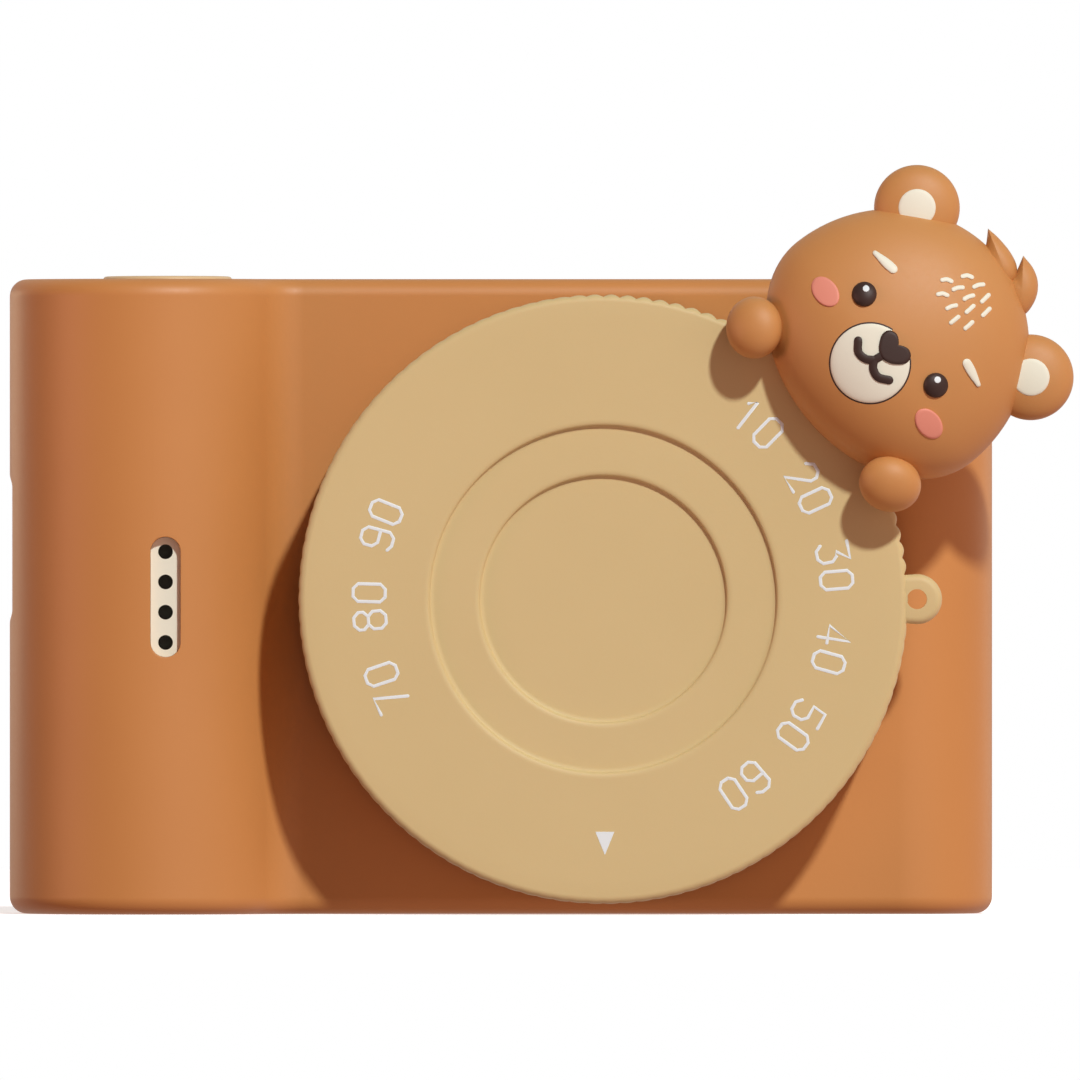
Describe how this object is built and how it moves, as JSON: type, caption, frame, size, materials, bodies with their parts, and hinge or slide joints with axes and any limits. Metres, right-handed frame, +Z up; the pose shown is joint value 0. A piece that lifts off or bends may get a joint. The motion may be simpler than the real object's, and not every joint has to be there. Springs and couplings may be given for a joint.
{
  "type": "kids digital camera",
  "caption": "Children's compact digital camera with a round grip, rear screen and keys, and a soft pull-off lens cap that carries a bear's head.",
  "frame": {"origin": "middle of the flat underside of the camera body", "axes": "front of the camera and its lens face -Y, +X is to the right seen from the front, +Z up"},
  "size_m": [0.1063, 0.0442, 0.0748],
  "materials": {
    "housing_caramel": "satin, fine moulded grain",
    "soft_caramel": "soft-touch matte",
    "cap_beige": "soft-touch matte silicone",
    "button_beige": "satin",
    "cream": "matte",
    "coral": "matte",
    "dark_brown": "satin",
    "black_plastic": "matte",
    "clear_glass": "polished",
    "circuit_board": "solder mask",
    "silicone_mat": "matte",
    "steel": "plated",
    "battery_foil": "foil pouch"
  },
  "bodies": {
    "camera_body": {"front_housing": "housing_caramel", "rear_housing": "housing_caramel", "lens_ring": "housing_caramel", "speaker_grille": "cream", "lens_bezel": "black_plastic", "objective_barrel": "black_plastic", "lens_holder": "black_plastic", "image_sensor": "black_plastic", "lcd_panel": "black_plastic", "shutter_switch": "black_plastic", "speaker": "black_plastic", "lens_window": "clear_glass", "objective_glass": "clear_glass", "screen_window": "clear_glass", "main_board": "circuit_board", "key_board": "circuit_board", "key_mat": "silicone_mat", "usb_socket": "steel", "card_socket": "steel", "housing_screw_1": "steel", "housing_screw_2": "steel", "housing_screw_3": "steel", "housing_screw_4": "steel", "board_screw_1": "steel", "board_screw_2": "steel", "key_board_screw_1": "steel", "key_board_screw_2": "steel", "battery": "battery_foil"},
    "shutter_button": {"shutter_button": "button_beige"},
    "power_button": {"power_button": "button_beige"},
    "menu_button": {"menu_button": "button_beige"},
    "play_button": {"play_button": "button_beige"},
    "key_up": {"key_up": "button_beige"},
    "key_down": {"key_down": "button_beige"},
    "key_left": {"key_left": "button_beige"},
    "key_right": {"key_right": "button_beige"},
    "key_ok": {"key_ok": "button_beige"},
    "port_flap": {"port_flap": "soft_caramel"},
    "memory_card": {"memory_card": "black_plastic"},
    "lens_cap": {"lens_cap": "cap_beige", "bear_head": "soft_caramel", "bear_ear_right": "soft_caramel", "bear_ear_left": "soft_caramel", "bear_ear_pad_right": "cream", "bear_ear_pad_left": "cream", "bear_paw_right": "soft_caramel", "bear_paw_left": "soft_caramel", "bear_tuft_front": "soft_caramel", "bear_tuft_back": "soft_caramel", "bear_eye_right": "dark_brown", "bear_eye_left": "dark_brown", "bear_muzzle": "cream", "bear_nose": "dark_brown", "bear_cheek_right": "coral", "bear_cheek_left": "coral", "bear_brow_right": "cream", "bear_brow_left": "cream"}
  },
  "joints": [
    {"name": "cap_pull", "type": "slide", "parent": "camera_body", "child": "lens_cap", "axis": [0, -1, 0], "range_m": [0, 0.03]},
    {"name": "shutter_press", "type": "slide", "parent": "camera_body", "child": "shutter_button", "axis": [0, 0, -1], "range_m": [0, 0.00035], "stiffness_N_per_m": 3000},
    {"name": "power_button_press", "type": "slide", "parent": "camera_body", "child": "power_button", "axis": [0, -1, 0], "range_m": [0, 0.0005], "stiffness_N_per_m": 1500},
    {"name": "menu_button_press", "type": "slide", "parent": "camera_body", "child": "menu_button", "axis": [0, -1, 0], "range_m": [0, 0.0005], "stiffness_N_per_m": 1500},
    {"name": "play_button_press", "type": "slide", "parent": "camera_body", "child": "play_button", "axis": [0, -1, 0], "range_m": [0, 0.0005], "stiffness_N_per_m": 1500},
    {"name": "key_up_press", "type": "slide", "parent": "camera_body", "child": "key_up", "axis": [0, -1, 0], "range_m": [0, 0.0005], "stiffness_N_per_m": 1500},
    {"name": "key_down_press", "type": "slide", "parent": "camera_body", "child": "key_down", "axis": [0, -1, 0], "range_m": [0, 0.0005], "stiffness_N_per_m": 1500},
    {"name": "key_left_press", "type": "slide", "parent": "camera_body", "child": "key_left", "axis": [0, -1, 0], "range_m": [0, 0.0005], "stiffness_N_per_m": 1500},
    {"name": "key_right_press", "type": "slide", "parent": "camera_body", "child": "key_right", "axis": [0, -1, 0], "range_m": [0, 0.0005], "stiffness_N_per_m": 1500},
    {"name": "key_ok_press", "type": "slide", "parent": "camera_body", "child": "key_ok", "axis": [0, -1, 0], "range_m": [0, 0.0005], "stiffness_N_per_m": 1500},
    {"name": "flap_hinge", "type": "hinge", "parent": "camera_body", "child": "port_flap", "pos_m": [-0.04892, 0.0033, 0.03655], "axis": [0, 0, -1], "range_deg": [0, 100]},
    {"name": "card_push", "type": "slide", "parent": "camera_body", "child": "memory_card", "axis": [1, 0, 0], "range_m": [0, 0.0006], "stiffness_N_per_m": 800}
  ]
}
